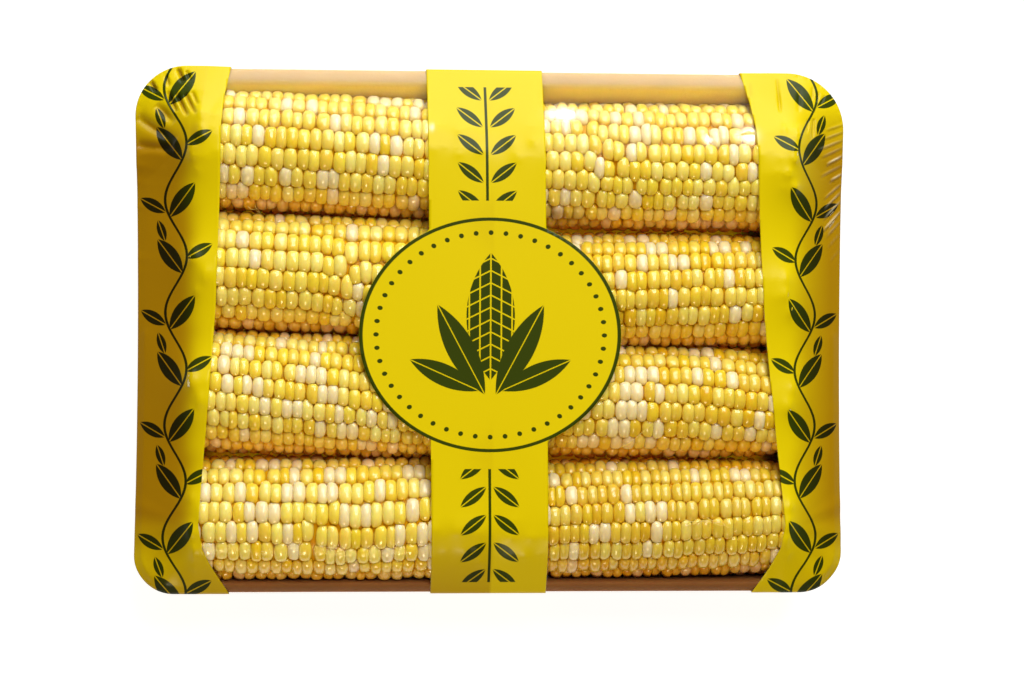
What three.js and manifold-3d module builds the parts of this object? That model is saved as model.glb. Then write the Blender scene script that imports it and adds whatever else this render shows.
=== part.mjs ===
// A film-wrapped tray of eight corn cobs, lying flat.
// Millimetres, +Z up, +Y to the back of the pack, origin on the table under its middle.

import * as THREE from "three";
import { mergeVertices } from "three/addons/utils/BufferGeometryUtils.js";
import Module from "manifold-3d";

const wasm = await Module();
wasm.setup();

// Driving dimensions
const PACK_LENGTH = 282;
const PACK_DEPTH = 209;
const RIM_CORNER = 22;
const LEAST_CORNER = 4;
const CORNER_STEPS = 7;
const CURVE_STEPS = 10;
const EDGE_STEPS = 15;
const WELD = 1e-4;
const FILM = 0.5;
const GAP = 0.3;
const FLOOR_TOP = 2.8;
const COB_LENGTH = 117;
const END_SHARE = 0.85;

// Film outside: [inset from the rim, height], from the underside round the edge to the flat top
const WRAP_PROFILE = [
  [13, 0],
  [10, 1],
  [9, 4],
  [0, 36.5],
  [0.5, 38.4],
  [18, 48.4],
  [23.7, 50.8],
  [30, 51.5],
];
const LEVEL_RINGS = 5;

// Tray: the same insets, up the outside, over the lip and down the inside
const TRAY_PROFILE = [
  [14, FILM + GAP],
  [11, 1.9],
  [9.9, 4.6],
  [4.9, 22],
  [3.6, 29],
  [2, 33.5],
  [1, 36.2],
  [1.3, 37.2],
  [2.4, 37],
  [3.9, 34],
  [5.4, 29],
  [6.7, 22],
  [10.8, 7.5],
  [13.5, 4],
  [17.5, FLOOR_TOP],
];

// Print on the film, seen from above
const BAND_WIDTH = 48;
const OVAL_LENGTH = 104;
const OVAL_DEPTH = 94;
const OVAL_Y = -1;
const OVAL_LOWEST = 44;
const CUTTER_REACH = 200;
const CUTTER_TOP = 80;
const STRIP_EDGE = [
  [103.5, -104.5],
  [115, -76],
  [110, -10],
  [107.5, 60],
  [102.5, 104.5],
];

// Cobs: row 1 lies at the back
const KERNEL_LINES = 8;
const KERNELS_ALONG = 25;
const KERNEL_DEPTH = 2.2;
const KERNEL_WANDER = 0.5;
const RIDGE_SHARE = 0.28;
const LOWER_LINES = 5;
const END_SHRINK = 0.05;
const SEED_PER_COB = 100;
const SEED_PER_LINE = 31;
const LEFT_COLUMN_X = -60;
const RIGHT_COLUMN_X = 62;
const COBS = [
  { name: "cob_1_left", x: LEFT_COLUMN_X, y: 71.2, diameter: 47, yaw: -1 },
  { name: "cob_2_left", x: LEFT_COLUMN_X, y: 23, diameter: 46, yaw: 0 },
  { name: "cob_3_left", x: LEFT_COLUMN_X, y: -25.6, diameter: 47, yaw: -1.5 },
  { name: "cob_4_left", x: LEFT_COLUMN_X, y: -74.4, diameter: 47.4, yaw: 0 },
  { name: "cob_1_right", x: RIGHT_COLUMN_X, y: 66, diameter: 47, yaw: 0 },
  { name: "cob_2_right", x: RIGHT_COLUMN_X, y: 18, diameter: 45.4, yaw: 0 },
  { name: "cob_3_right", x: RIGHT_COLUMN_X, y: -28, diameter: 45, yaw: -0.8 },
  { name: "cob_4_right", x: RIGHT_COLUMN_X, y: -74.8, diameter: 46.4, yaw: 0.8 },
];

// Surfaces
const BOARD = { color: 0xd9a55a, roughness: 0.9, metalness: 0 };
const CORN = { color: 0xf2cf52, roughness: 0.4, metalness: 0 };
const PRINTED = { color: 0xe1c618, roughness: 0.3, metalness: 0 };
const CLEAR = { color: 0xffffff, roughness: 0.1, metalness: 0, transparent: true, opacity: 0.2 };

// One rounded rectangle of points, inset from the rim
function ring(inset, height, endShare) {
  const radius = Math.max(RIM_CORNER - inset, LEAST_CORNER);
  const centreX = PACK_LENGTH / 2 - inset * endShare - radius;
  const centreY = PACK_DEPTH / 2 - inset - radius;
  const points = [];
  for (let corner = 0; corner < 4; corner++) {
    const sideX = corner === 0 || corner === 3 ? 1 : -1;
    const sideY = corner < 2 ? 1 : -1;
    for (let step = 0; step <= CORNER_STEPS; step++) {
      const angle = (corner + step / CORNER_STEPS) * (Math.PI / 2);
      const x = sideX * centreX + radius * Math.cos(angle);
      const y = sideY * centreY + radius * Math.sin(angle);
      points.push([x, y, height]);
    }
  }
  return points;
}

function geometryOf(positions, index) {
  const geometry = new THREE.BufferGeometry();
  geometry.setAttribute("position", new THREE.Float32BufferAttribute(positions.flat(), 3));
  geometry.setIndex(index);
  return geometry;
}

// Closed body through a list of rings, with a flat cap on the first and on the last
function loft(rings) {
  const count = rings[0].length;
  const positions = rings.flat();
  const index = [];
  for (let level = 0; level + 1 < rings.length; level++) {
    for (let i = 0; i < count; i++) {
      const a = level * count + i;
      const b = level * count + ((i + 1) % count);
      index.push(a, b, b + count, a, b + count, a + count);
    }
  }
  const last = (rings.length - 1) * count;
  for (let i = 1; i + 1 < count; i++) {
    index.push(0, i + 1, i);
    index.push(last, last + i, last + i + 1);
  }
  return geometryOf(positions, index);
}

// Profile moved square to itself, to the inside of the pack
function insideOf(profile, distance) {
  return profile.map((point, i) => {
    const before = profile[Math.max(i - 1, 0)];
    const after = profile[Math.min(i + 1, profile.length - 1)];
    const run = new THREE.Vector2(after[0] - before[0], after[1] - before[1]).normalize();
    if (i === 0 || i === profile.length - 1) {
      run.set(i === 0 ? -1 : 1, 0);
    }
    return [point[0] + run.y * distance, point[1] - run.x * distance];
  });
}

function envelope(profile) {
  const rings = profile.map(([inset, height], level) => {
    return ring(inset, height, level < LEVEL_RINGS ? 1 : END_SHARE);
  });
  return loft(rings);
}

function trayGeometry() {
  return loft(TRAY_PROFILE.map(([inset, height]) => ring(inset, height, 1)));
}

function solidOf(geometry) {
  const plain = geometry.clone();
  plain.deleteAttribute("normal");
  plain.deleteAttribute("uv");
  const merged = mergeVertices(plain, WELD);
  const vertProperties = new Float32Array(merged.attributes.position.array);
  const triVerts = new Uint32Array(merged.index.array);
  return new wasm.Manifold(new wasm.Mesh({ numProp: 3, vertProperties, triVerts }));
}

function geometryFrom(solid) {
  const mesh = solid.getMesh();
  const geometry = new THREE.BufferGeometry();
  geometry.setAttribute("position", new THREE.BufferAttribute(mesh.vertProperties, 3));
  geometry.setIndex(new THREE.BufferAttribute(mesh.triVerts, 1));
  return geometry;
}

// Upright cutter over a plan outline
function prism(shape, lowest) {
  const depth = CUTTER_TOP - lowest;
  const options = { depth, bevelEnabled: false, curveSegments: CURVE_STEPS };
  const geometry = new THREE.ExtrudeGeometry(shape, options);
  geometry.translate(0, 0, lowest);
  return solidOf(geometry);
}

// Plan outline between the strip edge, moved by `shift`, and an upright line at `farX`
function edgeShape(side, shift, farX) {
  const edge = STRIP_EDGE.map(([x, y]) => new THREE.Vector2(side * (x + shift), y));
  const curve = new THREE.SplineCurve(edge).getPoints(EDGE_STEPS);
  const outline = [
    new THREE.Vector2(side * farX, -CUTTER_REACH),
    new THREE.Vector2(curve[0].x, -CUTTER_REACH),
    ...curve,
    new THREE.Vector2(curve[curve.length - 1].x, CUTTER_REACH),
    new THREE.Vector2(side * farX, CUTTER_REACH),
  ];
  return new THREE.Shape(outline);
}

function ovalPrism(margin) {
  const shape = new THREE.Shape();
  shape.absellipse(0, OVAL_Y, OVAL_LENGTH / 2 + margin, OVAL_DEPTH / 2 + margin, 0, Math.PI * 2);
  return prism(shape, OVAL_LOWEST);
}

function bandPrism() {
  const half = BAND_WIDTH / 2;
  const corners = [
    new THREE.Vector2(-half, -CUTTER_REACH),
    new THREE.Vector2(half, -CUTTER_REACH),
    new THREE.Vector2(half, CUTTER_REACH),
    new THREE.Vector2(-half, CUTTER_REACH),
  ];
  return prism(new THREE.Shape(corners), -CUTTER_TOP);
}

function wrapPieces() {
  const shell = solidOf(envelope(WRAP_PROFILE)).subtract(solidOf(envelope(insideOf(WRAP_PROFILE, FILM))));
  const pieces = [];
  for (const [side, label] of [[-1, "left"], [1, "right"]]) {
    const strip = prism(edgeShape(side, 0, CUTTER_REACH), -CUTTER_TOP);
    const window = prism(edgeShape(side, -GAP, BAND_WIDTH / 2 + GAP), -CUTTER_TOP);
    pieces.push(["wrap_print_" + label, shell.intersect(strip), PRINTED]);
    pieces.push(["wrap_clear_" + label, shell.intersect(window).subtract(ovalPrism(GAP)), CLEAR]);
  }
  pieces.push(["wrap_print_middle", shell.intersect(bandPrism().add(ovalPrism(0))), PRINTED]);
  return pieces;
}

// Repeatable unevenness between -1 and 1
function uneven(seed) {
  const wave = Math.sin(seed * 12.9898) * 43758.5453;
  return 2 * (wave - Math.floor(wave)) - 1;
}

// A cob along X: hipped kernels over the upper half, smooth below
function cobGeometry(diameter, seed) {
  const positions = [];
  const index = [];
  const pitch = COB_LENGTH / KERNELS_ALONG;
  const radiusAt = (x) => (diameter / 2) * (1 - END_SHRINK * Math.abs((2 * x) / COB_LENGTH) ** 3);

  const point = (x, turn, depth) => {
    const radius = radiusAt(x) - depth;
    positions.push([x, -radius * Math.cos(turn), radius * Math.sin(turn)]);
    return positions.length - 1;
  };
  const turnOf = (line) => (Math.PI * line) / KERNEL_LINES;

  const valleys = [];
  for (let line = 0; line <= KERNEL_LINES; line++) {
    const row = [];
    for (let i = 0; i <= KERNELS_ALONG; i++) {
      const atEnd = i === 0 || i === KERNELS_ALONG;
      const wander = atEnd ? 0 : KERNEL_WANDER * uneven(seed + line * SEED_PER_LINE + i);
      row.push(point(i * pitch - COB_LENGTH / 2 + wander, turnOf(line), KERNEL_DEPTH));
    }
    valleys.push(row);
  }

  for (let line = 0; line < KERNEL_LINES; line++) {
    for (let i = 0; i < KERNELS_ALONG; i++) {
      const x = (i + 0.5) * pitch - COB_LENGTH / 2;
      const near = point(x, turnOf(line + RIDGE_SHARE), 0);
      const far = point(x, turnOf(line + 1 - RIDGE_SHARE), 0);
      const a = valleys[line][i];
      const b = valleys[line][i + 1];
      const c = valleys[line + 1][i + 1];
      const d = valleys[line + 1][i];
      index.push(a, b, near, b, c, far, b, far, near);
      index.push(c, d, far, d, a, near, d, near, far);
    }
  }

  const lines = [valleys[KERNEL_LINES]];
  for (let line = 1; line <= LOWER_LINES; line++) {
    const turn = Math.PI * (1 + line / (LOWER_LINES + 1));
    lines.push([-0.5, 0, 0.5].map((share) => point(share * COB_LENGTH, turn, 0)));
  }
  lines.push(valleys[0]);
  for (let line = 0; line + 1 < lines.length; line++) {
    zip(positions, index, lines[line], lines[line + 1]);
  }
  capEnds(positions, index, [...valleys, ...lines.slice(1, -1)]);
  return geometryOf(positions, index);
}

// Strip of triangles between two lines of points that both run along +X
function zip(positions, index, lower, upper) {
  let i = 0;
  let j = 0;
  while (i + 1 < lower.length || j + 1 < upper.length) {
    const nextLower = i + 1 < lower.length ? positions[lower[i + 1]][0] : Infinity;
    const nextUpper = j + 1 < upper.length ? positions[upper[j + 1]][0] : Infinity;
    if (nextLower <= nextUpper) {
      index.push(lower[i], lower[i + 1], upper[j]);
      i += 1;
    } else {
      index.push(lower[i], upper[j + 1], upper[j]);
      j += 1;
    }
  }
}

// Flat cut ends of a cob, as fans about its axis
function capEnds(positions, index, loop) {
  for (const end of [-1, 1]) {
    const centre = positions.length;
    positions.push([(end * COB_LENGTH) / 2, 0, 0]);
    loop.forEach((line, i) => {
      const here = end < 0 ? line[0] : line[line.length - 1];
      const following = loop[(i + 1) % loop.length];
      const next = end < 0 ? following[0] : following[following.length - 1];
      index.push(centre, end < 0 ? here : next, end < 0 ? next : here);
    });
  }
}

function meshOf(name, geometry, surface) {
  geometry.computeVertexNormals();
  const mesh = new THREE.Mesh(geometry, new THREE.MeshStandardMaterial(surface));
  mesh.name = name;
  return mesh;
}

const part = new THREE.Group();
part.name = "wrapped_corn_tray";
part.add(meshOf("tray", trayGeometry(), BOARD));
COBS.forEach((cob, i) => {
  const mesh = meshOf(cob.name, cobGeometry(cob.diameter, SEED_PER_COB * i), CORN);
  mesh.position.set(cob.x, cob.y, FLOOR_TOP + GAP + cob.diameter / 2);
  mesh.rotation.z = THREE.MathUtils.degToRad(cob.yaw);
  part.add(mesh);
});
for (const [name, solid, surface] of wrapPieces()) {
  part.add(meshOf(name, geometryFrom(solid), surface));
}

export default part;
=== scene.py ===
"""Looks of a film-wrapped tray of corn cobs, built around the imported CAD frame.

Shapes are worked out in millimetres and turned into metres when a mesh is made.
+X runs along the cobs, +Y goes to the back edge, +Z is up.
"""

import math

import bpy
import numpy as np
from mathutils import Matrix, Vector


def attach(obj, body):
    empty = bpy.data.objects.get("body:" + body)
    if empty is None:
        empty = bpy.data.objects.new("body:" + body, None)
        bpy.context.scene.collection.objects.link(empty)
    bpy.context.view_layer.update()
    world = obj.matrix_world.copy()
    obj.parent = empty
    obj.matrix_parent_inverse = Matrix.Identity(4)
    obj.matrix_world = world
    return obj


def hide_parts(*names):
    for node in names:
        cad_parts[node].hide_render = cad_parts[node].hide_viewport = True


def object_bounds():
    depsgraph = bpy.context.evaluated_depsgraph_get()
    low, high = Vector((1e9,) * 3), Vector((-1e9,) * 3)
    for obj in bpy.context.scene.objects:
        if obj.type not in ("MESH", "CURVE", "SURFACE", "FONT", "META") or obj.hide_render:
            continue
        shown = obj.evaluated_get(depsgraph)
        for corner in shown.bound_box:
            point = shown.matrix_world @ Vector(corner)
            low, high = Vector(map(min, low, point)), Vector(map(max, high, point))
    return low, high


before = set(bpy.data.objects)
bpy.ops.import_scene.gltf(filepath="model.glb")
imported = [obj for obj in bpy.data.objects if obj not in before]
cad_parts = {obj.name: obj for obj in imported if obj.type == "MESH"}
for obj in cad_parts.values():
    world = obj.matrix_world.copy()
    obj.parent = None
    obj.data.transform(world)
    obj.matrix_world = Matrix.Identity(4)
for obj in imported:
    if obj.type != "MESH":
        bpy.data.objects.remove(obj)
CAD_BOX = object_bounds()
MM = 0.001

# Pack outline: the film's edge stays a little inside the CAD box; corner radii are by side
EDGE_PLAY = 0.5
HALF_X = CAD_BOX[1].x / MM
HALF_Y = CAD_BOX[1].y / MM - EDGE_PLAY
BACK_CORNERS = {-1: 20.5, 1: 23.5}
FRONT_CORNERS = {-1: 16.0, 1: 17.5}
RIM_Z = 34.6
END_BOW = 1.3
BOW_FROM = 105.0
BOW_DEEP = 92.0

# Film: mesh steps in the middle, along the front and where it folds, thickness, room over what it covers
FILM_STEP = 1.25
FRONT_STEP = 0.9
FOLD_STEP = 0.45
FILM_THICK = 0.1
FILM_CLEAR = 0.25
FILM_TOP = 50.5
PRINT_TOP_ABOVE = 40.0
RIM_HELD = 0.6
PULL = 1.85
PULL_ROUNDS = 260
# Film down the sides: inset and height at each bend, and rows of mesh up to it
WALL_PROFILE = [(0.15, 33.6), (0.0, 32.4), (9.0, 4.0), (9.4, 2.2), (10.4, 0.8), (13.0, 0.0)]
WALL_ROWS = [1, 1, 6, 1, 1, 2]
# Painted shade on the print down the sides and underneath
WALL_SHADE = 0.6

# Print, seen from above
BAND_HALF = 23.0
BAND_X = -2.4
BAND_LEAN = -0.0123
OVAL_A = 51.5
OVAL_B = 46.0
OVAL_X = -1.6
OVAL_Y = -1.2
STRIP_EDGE_Y = [-104.5, -93.4, -85.4, -76.0, -55.0, -25.0, 10.0, 60.0, 80.0, 92.0, 104.5]
STRIP_EDGE_X = {
    -1: [103.2, 109.7, 113.5, 115.0, 113.7, 111.1, 108.7, 107.1, 106.9, 105.9, 103.4],
    1: [104.3, 110.7, 114.3, 115.7, 114.0, 110.4, 106.8, 104.1, 103.5, 101.6, 98.6],
}
CUT_GAP = 0.03
FAR_OUTSIDE = -50.0

# Green design: stems, leaves (place, turn in degrees, length), beads and the ear
STEM_HALF = 0.55
VEIN_HALF = 0.2
VINE_X = 125.0
VINE_INNER_X = 109.0
VINE_PITCH = 44.0
VINE_SHIFT = 4.0
VINE_SWAY = 4.5
VINE_LEAVES = [
    ((-2.5, 11), 128, 17), ((9.5, 9), 28, 12), ((2.5, -11), 52, 17), ((-9.5, -9), 152, 12), ((6, -1), 70, 9),
]
GARLAND_STEP = 11.0
GARLAND_FROM = 52.0
GARLAND_TO = 98.0
RING_INSET = 0.7
RING_HALF = 0.65
BEADS = 48
BEAD_RADIUS = 0.95
BEAD_SHARE = 0.87
EAR_LINE = 0.3
EAR_ROW = 4.2
EAR_STEP = 4.8
PRINT_SOFT = 0.12

# Patches of clinging film: place, half width along and deep
GLARES = [
    (100.5, 78.0, 3.2, 2.6), (84.0, 76.5, 1.2, 2.0), (27.0, 86.0, 4.5, 2.4),
    (-58.0, -7.5, 2.6, 1.8), (-25.0, 80.0, 0.9, 1.4),
]

# Creases at the back corners, seen from above: one end, other end, half width, share of full depth
BACK_CREASES = {
    -1: [
        ((-134.8, 97.8), (-132.4, 93.2), 0.75, 0.9),
        ((-128.8, 100.2), (-127.6, 95.6), 0.6, 0.6),
        ((-124.2, 102.8), (-121.9, 97.4), 0.75, 1.0),
        ((-121.0, 102.0), (-119.4, 98.2), 0.6, 0.5),
        ((-127.9, 93.6), (-124.6, 85.2), 0.8, 0.9),
        ((-124.6, 92.9), (-120.2, 83.6), 0.75, 1.0),
        ((-121.2, 92.8), (-117.0, 84.4), 0.7, 0.9),
        ((-118.6, 93.6), (-116.2, 88.0), 0.6, 0.5),
        ((-132.6, 88.6), (-125.4, 81.0), 1.7, 0.8),
        ((-140.2, 83.6), (-125.0, 73.6), 2.0, 1.0),
        ((-140.6, 72.6), (-125.6, 70.6), 1.7, 0.9),
        ((-140.2, 56.0), (-132.0, 54.6), 1.4, 0.5),
    ],
    1: [
        ((113.9, 87.5), (113.4, 101.6), 0.55, 0.7),
        ((102.9, 93.2), (102.6, 100.2), 0.6, 0.4),
        ((127.4, 93.0), (127.9, 98.6), 0.6, 0.5),
        ((129.0, 92.4), (130.6, 96.4), 0.6, 0.6),
        ((131.0, 91.8), (132.8, 95.4), 0.6, 0.5),
        ((127.0, 77.0), (127.8, 85.6), 0.6, 0.7),
        ((124.6, 79.4), (125.2, 85.2), 0.6, 0.5),
        ((121.5, 88.0), (122.2, 97.0), 0.8, 0.35),
    ],
}
CREASE_DEPTH = 1.3
RIGHT_CREASE_SHADE = 0.55
# Tight slanting folds down the right end: height on the edge, slope, length, strength
END_FOLDS = [
    (84.0, 0.35, 8.0, 0.4), (81.0, 0.38, 9.0, 0.5), (77.8, 0.4, 12.0, 0.6), (74.8, 0.45, 10.0, 0.5),
    (71.4, 0.52, 7.5, 1.0), (67.8, 0.5, 10.0, 0.5), (64.2, 0.57, 5.5, 0.9), (60.4, 0.8, 8.0, 0.6),
    (57.2, 0.95, 8.0, 0.7), (53.6, 1.0, 8.0, 0.8), (49.4, 1.05, 8.0, 0.9), (45.4, 1.0, 7.0, 0.5),
    (40.5, 1.0, 6.0, 0.4), (34.0, 1.0, 5.0, 0.3),
]
END_FOLD_WIDTH = 0.45
FOLD_DROP = 1.2
FOLD_SHADE = 0.9
# Puffed film at the corners: side, side and height, fanning out from a place near each corner
PUFFS = [(-1, 1, 3.0), (1, 1, 1.3), (-1, -1, 0.4), (1, -1, 0.5)]
FAN_X = 116.0
FAN_Y = 77.0
# Painted shade where film gathers in the back left corner: place, half width along and deep, share
GATHERED_SHADE = (-118.0, 76.0, 4.0, 7.0, 0.6)
# Painted shade over the hollow at the right end: where it begins, how long it grows, least and most
RIGHT_HOLLOW_SHADE = (108.0, 30.0, 0.2, 0.95)

# Cobs: rows round, kernel pitch, share of white, row slope left and right of a bend, taper at both ends.
# Some have a patch of slipped rows (along, degrees), a depth and shade of colour, a turn in degrees,
# a move to the front, a width over height, and strands of silk (along and degrees at both ends).
COBS = {
    "cob_1_left": dict(
        rows=18, pitch=4.55, white=0.17, slopes=(0.02, 0.04), bend=0, taper=(0.03, 0.06), turn=-1.6, move=1.1,
        silk=(((-36, 152), (-31, 170)), ((-33, 150), (-30, 172))),
    ),
    "cob_2_left": dict(
        rows=18, pitch=4.65, white=0.14, slopes=(0.02, -0.03), bend=5, taper=(0.03, 0.08), patch=(2, 95),
        turn=-2.0, move=0.8,
    ),
    "cob_3_left": dict(
        rows=20, pitch=4.2, white=0.14, slopes=(0.08, 0.11), bend=0, taper=(0.0, 0.14), turn=-0.8, move=-0.2,
    ),
    "cob_4_left": dict(
        rows=18, pitch=4.5, white=0.18, slopes=(0.0, -0.09), bend=-6, taper=(0.03, 0.05), patch=(-7, 100),
        wide=1.05, move=0.3,
    ),
    "cob_1_right": dict(
        rows=20, pitch=4.55, white=0.17, slopes=(0.02, 0.0), bend=0, taper=(0.05, -0.03), patch=(-22, 70),
        wide=1.08, move=-0.5,
    ),
    "cob_2_right": dict(
        rows=18, pitch=4.35, white=0.19, slopes=(-0.02, -0.04), bend=0, taper=(0.05, 0.05),
        depth=1.2, shade=0.95, wide=1.01, move=1.1,
    ),
    "cob_3_right": dict(
        rows=18, pitch=4.55, white=0.16, slopes=(0.01, 0.11), bend=16, taper=(0.04, 0.11),
        depth=1.2, shade=0.92, wide=1.01, move=-0.4, silk=(((-10.9, 139), (5.4, 99)),),
    ),
    "cob_4_right": dict(
        rows=18, pitch=4.1, white=0.15, slopes=(-0.02, -0.06), bend=10, taper=(0.03, 0.09),
        depth=1.2, shade=0.84, wide=1.025, move=-0.2,
        silk=(((13.3, 88), (29.2, 93)), ((14.5, 91), (27.5, 89.5)), ((22, 86), (31, 95))),
    ),
}
FIRST_SEED = 40
COB_WIDE = 1.036
CORE_DEPTH = 2.1
END_CUT = 1.0
SILK_RADIUS = 0.17
SILK_LIFT = 1.15

# Places of kernels: unevenness along and round, and the size of a patch of slipped rows
ROW_STAGGER = 0.1
ROW_CREEP = 0.2
ALONG_JITTER = 0.13
ROW_WAVE = 0.35
AROUND_JITTER = 0.25
PATCH_LONG = 9.0
PATCH_DEEP = 17.0
PATCH_JITTER = (1.2, 1.7)

# Form of a kernel: cell outline, dome, skirt under it, tip above the cob's radius and its unevenness
KERNEL_HEIGHT = 2.35
KERNEL_SKIRT = 2.2
SKIRT_SPREAD = 0.9
CELL_SHARPNESS = 6.0
CELL_ROUND = 2.7
CELL_LEAST = 0.27
WIDEST = 0.64
OVERLAP = 1.16
DOME_ROUND = 0.88
TIP_LIFT = 0.5
TIP_JITTER = 0.22
TILT_JITTER = 0.05
# Segments and rings of a kernel in view and of one low on the cob, and the sine of the angle between them
FINE = (16, 6)
COARSE = (10, 4)
FINE_ABOVE = -0.3
HIDDEN_BELOW = -0.5

# Wetness of kernels, and of core and silk
WET = 1.0
DRY = 0.1

# Linear colours
YELLOWS = np.array([(0.90, 0.68, 0.035), (0.86, 0.56, 0.004), (0.95, 0.83, 0.27)])
YELLOW_SHARES = (1.3, 0.85, 1.15)
WHITE_KERNEL = np.array((0.95, 0.78, 0.43))
SILK = np.array((0.90, 0.62, 0.16))
# Warm colour low in the grooves between kernels: partly the kernels' own deeper colour, partly painted shade
GROOVE_TONE_AND_SHADE = np.array((0.90, 0.50, 0.003))
# Painted shade: deep orange on the cob's core, which shows in the gaps between kernels
CORE_SHADE = np.array((0.72, 0.33, 0.002))
# Painted shade: deep orange for kernels in the valley beside the next cob and on the shaded front
FLANK_SHADE = np.array((0.83, 0.24, 0.001))
BOARD_LIP = np.array((0.58, 0.39, 0.175))
# Painted light: golden inside the tray where the corn lights it; painted shade: brown along the front
BOARD_INSIDE_BOUNCE = np.array((1.0, 0.77, 0.05))
BOARD_FRONT_SHADE = np.array((0.23, 0.082, 0.008))
# Painted shade: how far the front side of each kernel turns to the groove colour
FRONT_SHADE_WARMTH = 0.45
# Largest shares of that painted shade, in the valleys and on the front
FLANK_SHADE_MOST = 0.85
SHADED_MOST = 0.6
WHITE_RUN = 1.4
INK_YELLOW = (0.72, 0.56, 0.0003, 1.0)
# Painted shade: the yellow and green inks turn dark brown over hollows, creases and folds
INK_HOLLOW_SHADE = (0.36, 0.185, 0.001, 1.0)
# Painted glint: pale colour of the print where film clings and in the folds at the right end
INK_PAINTED_GLINT = (0.95, 0.88, 0.55, 1.0)
INK_GREEN = (0.034, 0.050, 0.001, 1.0)
INK_GREEN_HOLLOW_SHADE = (0.014, 0.011, 0.001, 1.0)

# Gloss of the clear film seen along it, and where it clings; how much clinging print gains gloss and a pale
# painted glint; gloss of the print
CLEAR_GLOSS = 0.02
CLING_GLOSS = 0.18
CLING_GLOSS_AND_PAINTED_GLINT = 0.8
PRINT_GLOSS = 0.07

# Tray, ring by ring: inset at the back and the ends, inset at the front, height
TRAY_PROFILE = [
    (60.0, 60.0, 0.8), (14.0, 14.0, 0.8), (12.2, 12.2, 1.1), (10.8, 10.8, 2.1), (9.9, 9.9, 4.6),
    (6.8, 6.8, 14.0), (4.0, 4.0, 23.0), (2.4, 2.4, 28.5), (1.4, 1.4, 31.2), (0.8, 0.8, 32.1),
    (0.5, 0.5, 32.8), (0.7, 0.7, 33.5), (1.8, 1.4, 34.9), (3.4, 2.5, 36.2), (4.9, 3.5, 37.0),
    (6.0, 4.2, 37.1), (6.9, 4.7, 36.5), (7.8, 5.1, 35.5), (9.0, 5.5, 34.0), (10.2, 5.8, 32.2),
    (11.3, 6.2, 30.0), (12.2, 6.4, 27.0), (12.9, 6.7, 23.0), (14.0, 8.4, 16.0), (16.0, 11.5, 9.4),
    (18.6, 16.0, 5.0), (23.0, 20.0, 2.9), (60.0, 60.0, 2.8),
]
LIP_RING = 15
LIP_ABOVE = 33.0
LIP_INSET = 7.7
CORNER_POINTS = 17
SIDE_POINTS = 16
TRAY_PLAY = 0.15

# Camera, in metres and degrees: almost straight above the pack, a little to its left
CAMERA_DISTANCE = 1.0
CAMERA_TILT_X = -4.2
CAMERA_TILT_Y = 0.3
CAMERA_ROLL = 0.27
AIM = Vector((0.0077, -0.0040, 0.038))
FRAME_WIDTH = 0.4060
SENSOR_WIDTH = 36.0

# Lights: name, place, size, watts, colour
LIGHTS = [
    ("key", (0.3, 0.75, 1.15), (0.8, 0.8), 13.5, (1, 1, 1)),
    ("back", (0.15, 1.3, 0.62), (1.3, 0.6), 16.0, (1, 1, 1)),
    ("front", (-0.15, -0.72, 0.72), (0.42, 0.42), 1.3, (1.0, 0.6, 0.08)),
    ("spark", (-0.12, -0.92, 0.66), (0.27, 0.27), 3.0, (1.0, 0.9, 0.6)),
]
LIGHT_TARGET = Vector((0, 0, 0.03))
WORLD_LIGHT = 0.06
FLOOR_Z = -0.0003


# Meshes


def mesh_piece(name, points, faces, material):
    """A mesh object from points in millimetres and a list of index arrays, one row a face."""
    mesh = bpy.data.meshes.new(name)
    mesh.vertices.add(len(points))
    mesh.vertices.foreach_set("co", (np.asarray(points, float) * MM).ravel())
    loops = np.concatenate([np.asarray(block).ravel() for block in faces])
    sides = np.concatenate([np.full(len(block), block.shape[1]) for block in faces])
    mesh.loops.add(len(loops))
    mesh.loops.foreach_set("vertex_index", loops.astype(np.int32))
    mesh.polygons.add(len(sides))
    mesh.polygons.foreach_set("loop_start", np.concatenate([[0], np.cumsum(sides)[:-1]]).astype(np.int32))
    mesh.polygons.foreach_set("use_smooth", np.ones(len(sides), bool))
    mesh.update(calc_edges=True)
    mesh.validate()
    mesh.materials.append(material)
    piece = bpy.data.objects.new(name, mesh)
    bpy.context.scene.collection.objects.link(piece)
    return piece


def point_colours(piece, name, colours):
    """Stores a linear colour for each point."""
    values = np.ones((len(colours), 4))
    values[:, :colours.shape[1]] = colours
    attribute = piece.data.color_attributes.new(name, "FLOAT_COLOR", "POINT")
    attribute.data.foreach_set("color", values.astype(np.float32).ravel())


def point_values(piece, name, values):
    """Stores a number for each point."""
    attribute = piece.data.attributes.new(name, "FLOAT", "POINT")
    attribute.data.foreach_set("value", np.asarray(values, np.float32))


def point_uvs(piece, name, coordinates):
    """Stores a flat coordinate for each point as a UV map."""
    mesh = piece.data
    loops = np.zeros(len(mesh.loops), np.int32)
    mesh.loops.foreach_get("vertex_index", loops)
    layer = mesh.uv_layers.new(name=name)
    layer.uv.foreach_set("vector", np.asarray(coordinates, np.float32)[loops].ravel())


def tube_quads(rings, around):
    """Faces between rings of points, each ring once round."""
    ring = np.arange(around)
    after = (ring + 1) % around
    low = (np.arange(rings - 1) * around)[:, None]
    high = low + around
    return np.stack([low + ring, low + after, high + after, high + ring], 2).reshape(-1, 4)


def joined(parts):
    """Points, faces and colours of several meshes as one."""
    faces = []
    start = 0
    for points, blocks, _ in parts:
        faces += [block + start for block in blocks]
        start += len(points)
    return np.concatenate([part[0] for part in parts]), faces, np.concatenate([part[2] for part in parts])


def part_of_object(piece, node_name):
    """The piece rides on the only body and stands for its CAD node."""
    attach(piece, "root")
    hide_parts(node_name)


# Shader helpers


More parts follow.
